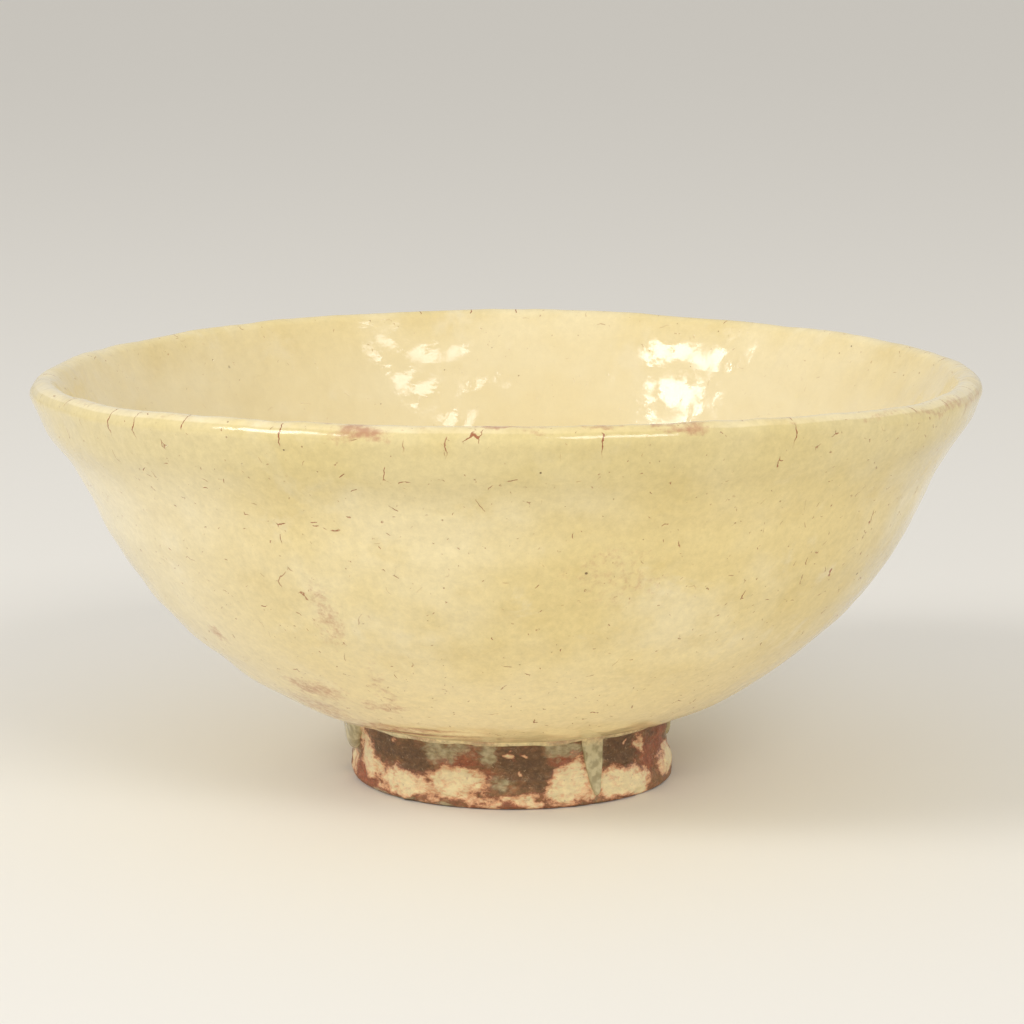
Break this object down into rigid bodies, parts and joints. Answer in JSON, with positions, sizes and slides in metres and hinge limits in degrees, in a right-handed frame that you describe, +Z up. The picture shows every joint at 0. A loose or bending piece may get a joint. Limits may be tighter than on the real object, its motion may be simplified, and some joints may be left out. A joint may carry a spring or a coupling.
{
  "type": "matcha tea bowl",
  "caption": "Wide open tea bowl with a rounded, gently uneven lip, a thick ivory glaze and a low, partly bare foot ring, for whisking powdered tea and drinking it.",
  "frame": {"origin": "on the surface that the foot stands on, under the middle of the lip", "axes": "+Z up, +X along the lip's slightly longer width, -Y towards the side where the lip is a little higher"},
  "size_m": [0.151, 0.149, 0.0676],
  "materials": {
    "stoneware_clay": "bare, iron-rich fired clay, matt and slightly rough",
    "ivory_glaze": "thick glossy ivory glaze, softly mottled, with fine brown crazing and pinholes",
    "island_glaze": "thin cream glaze that crawled into islands, iron red at the edges"
  },
  "bodies": {
    "root": {"bowl_body": "stoneware_clay", "foot_ring": "stoneware_clay", "outer_glaze": "ivory_glaze", "inner_glaze": "ivory_glaze", "foot_glaze_island_1": "island_glaze", "foot_glaze_island_2": "island_glaze", "foot_glaze_island_3": "island_glaze", "foot_glaze_island_4": "island_glaze", "foot_glaze_island_5": "island_glaze", "foot_glaze_island_6": "island_glaze", "foot_glaze_island_7": "island_glaze", "foot_glaze_island_8": "island_glaze", "foot_glaze_island_9": "island_glaze", "foot_glaze_island_10": "island_glaze", "foot_glaze_island_11": "island_glaze", "foot_glaze_island_12": "island_glaze"}
  },
  "joints": []
}
